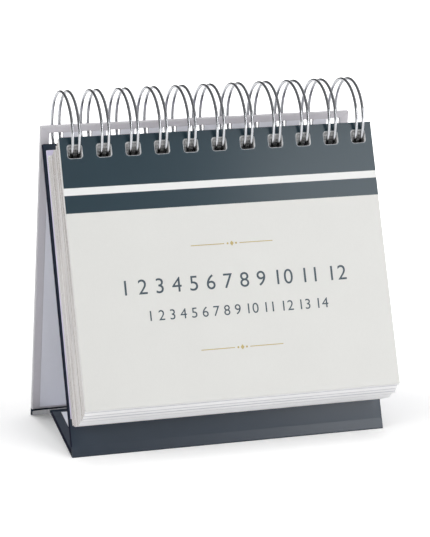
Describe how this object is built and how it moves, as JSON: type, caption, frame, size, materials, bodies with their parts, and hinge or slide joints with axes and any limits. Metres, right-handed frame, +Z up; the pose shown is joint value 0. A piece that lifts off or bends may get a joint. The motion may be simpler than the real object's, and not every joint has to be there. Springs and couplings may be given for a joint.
{
  "type": "desk calendar",
  "caption": "Desk calendar with a punched block of leaves under a striped cover, hung by a twin-loop wire on a folding board stand.",
  "frame": {"origin": "on the ground under the middle of the outline", "axes": "+X to the right along the wire, +Y from the cover to the back panel, +Z up"},
  "size_m": [0.1412, 0.0902, 0.1512],
  "materials": {
    "greyboard": "matte",
    "lining_paper": "matte",
    "grey_wrap": "matte",
    "slate_wrap": "satin",
    "cover_card": "satin",
    "white_card": "matte",
    "leaf_paper": "matte",
    "silver_wire": "polished"
  },
  "bodies": {
    "stand_front": {"front_panel_board": "greyboard", "front_panel_wrap": "slate_wrap", "front_panel_lining": "lining_paper", "front_fold": "slate_wrap", "backing_card": "white_card", "twin_loop_wire": "silver_wire"},
    "stand_floor_front": {"floor_front_board": "greyboard", "floor_front_wrap": "slate_wrap", "floor_front_lining": "lining_paper", "ridge_fold": "slate_wrap"},
    "stand_floor_rear": {"floor_rear_board": "greyboard", "floor_rear_wrap": "slate_wrap", "floor_rear_lining": "lining_paper"},
    "stand_back": {"back_panel_board": "greyboard", "back_panel_wrap": "grey_wrap", "back_panel_lining": "lining_paper", "rear_fold": "slate_wrap"},
    "cover": {"cover_sheet": "cover_card"},
    "month_01": {"leaves_month_01": "leaf_paper"},
    "month_02": {"leaves_month_02": "leaf_paper"},
    "month_03": {"leaves_month_03": "leaf_paper"},
    "month_04": {"leaves_month_04": "leaf_paper"},
    "month_05": {"leaves_month_05": "leaf_paper"},
    "month_06": {"leaves_month_06": "leaf_paper"},
    "month_07": {"leaves_month_07": "leaf_paper"},
    "month_08": {"leaves_month_08": "leaf_paper"},
    "month_09": {"leaves_month_09": "leaf_paper"},
    "month_10": {"leaves_month_10": "leaf_paper"},
    "month_11": {"leaves_month_11": "leaf_paper"},
    "month_12": {"leaves_month_12": "leaf_paper"}
  },
  "joints": [
    {"name": "cover_turn", "type": "hinge", "parent": "stand_front", "child": "cover", "pos_m": [0, 0.00616, 0.13414], "axis": [-1, 0, 0], "range_deg": [0, 174]},
    {"name": "month_01_turn", "type": "hinge", "parent": "stand_front", "child": "month_01", "pos_m": [0, 0.00616, 0.13414], "axis": [-1, 0, 0], "range_deg": [0, 160.66]},
    {"name": "month_02_turn", "type": "hinge", "parent": "stand_front", "child": "month_02", "pos_m": [0, 0.00616, 0.13414], "axis": [-1, 0, 0], "range_deg": [0, 147.34]},
    {"name": "month_03_turn", "type": "hinge", "parent": "stand_front", "child": "month_03", "pos_m": [0, 0.00616, 0.13414], "axis": [-1, 0, 0], "range_deg": [0, 133.99]},
    {"name": "month_04_turn", "type": "hinge", "parent": "stand_front", "child": "month_04", "pos_m": [0, 0.00616, 0.13414], "axis": [-1, 0, 0], "range_deg": [0, 120.64]},
    {"name": "month_05_turn", "type": "hinge", "parent": "stand_front", "child": "month_05", "pos_m": [0, 0.00616, 0.13414], "axis": [-1, 0, 0], "range_deg": [0, 107.32]},
    {"name": "month_06_turn", "type": "hinge", "parent": "stand_front", "child": "month_06", "pos_m": [0, 0.00616, 0.13414], "axis": [-1, 0, 0], "range_deg": [0, 93.97]},
    {"name": "month_07_turn", "type": "hinge", "parent": "stand_front", "child": "month_07", "pos_m": [0, 0.00616, 0.13414], "axis": [-1, 0, 0], "range_deg": [0, 80.62]},
    {"name": "month_08_turn", "type": "hinge", "parent": "stand_front", "child": "month_08", "pos_m": [0, 0.00616, 0.13414], "axis": [-1, 0, 0], "range_deg": [0, 67.3]},
    {"name": "month_09_turn", "type": "hinge", "parent": "stand_front", "child": "month_09", "pos_m": [0, 0.00616, 0.13414], "axis": [-1, 0, 0], "range_deg": [0, 53.95]},
    {"name": "month_10_turn", "type": "hinge", "parent": "stand_front", "child": "month_10", "pos_m": [0, 0.00616, 0.13414], "axis": [-1, 0, 0], "range_deg": [0, 40.6]},
    {"name": "month_11_turn", "type": "hinge", "parent": "stand_front", "child": "month_11", "pos_m": [0, 0.00616, 0.13414], "axis": [-1, 0, 0], "range_deg": [0, 27.28]},
    {"name": "month_12_turn", "type": "hinge", "parent": "stand_front", "child": "month_12", "pos_m": [0, 0.00616, 0.13414], "axis": [-1, 0, 0], "range_deg": [0, 13.93]},
    {"name": "front_fold_hinge", "type": "hinge", "parent": "stand_front", "child": "stand_floor_front", "pos_m": [0, -0.02319, 0.00219], "axis": [1, 0, 0], "range_deg": [0, 15]},
    {"name": "ridge_fold_hinge", "type": "hinge", "parent": "stand_floor_front", "child": "stand_floor_rear", "pos_m": [0, 0.00992, 0.00974], "axis": [1, 0, 0], "range_deg": [-28.81, 0]},
    {"name": "rear_fold_hinge", "type": "hinge", "parent": "stand_floor_rear", "child": "stand_back", "pos_m": [0, 0.04302, 0.00205], "axis": [1, 0, 0], "range_deg": [0, 11.41]}
  ],
  "couplings": [
    {"joint": "month_01_turn", "follows": "cover_turn", "ratio": 0.9233},
    {"joint": "month_02_turn", "follows": "cover_turn", "ratio": 0.8467},
    {"joint": "month_03_turn", "follows": "cover_turn", "ratio": 0.77},
    {"joint": "month_04_turn", "follows": "cover_turn", "ratio": 0.6933},
    {"joint": "month_05_turn", "follows": "cover_turn", "ratio": 0.6167},
    {"joint": "month_06_turn", "follows": "cover_turn", "ratio": 0.54},
    {"joint": "month_07_turn", "follows": "cover_turn", "ratio": 0.4633},
    {"joint": "month_08_turn", "follows": "cover_turn", "ratio": 0.3867},
    {"joint": "month_09_turn", "follows": "cover_turn", "ratio": 0.31},
    {"joint": "month_10_turn", "follows": "cover_turn", "ratio": 0.2333},
    {"joint": "month_11_turn", "follows": "cover_turn", "ratio": 0.1567},
    {"joint": "month_12_turn", "follows": "cover_turn", "ratio": 0.08},
    {"joint": "ridge_fold_hinge", "follows": "front_fold_hinge", "ratio": -1.92},
    {"joint": "rear_fold_hinge", "follows": "front_fold_hinge", "ratio": 0.76}
  ]
}
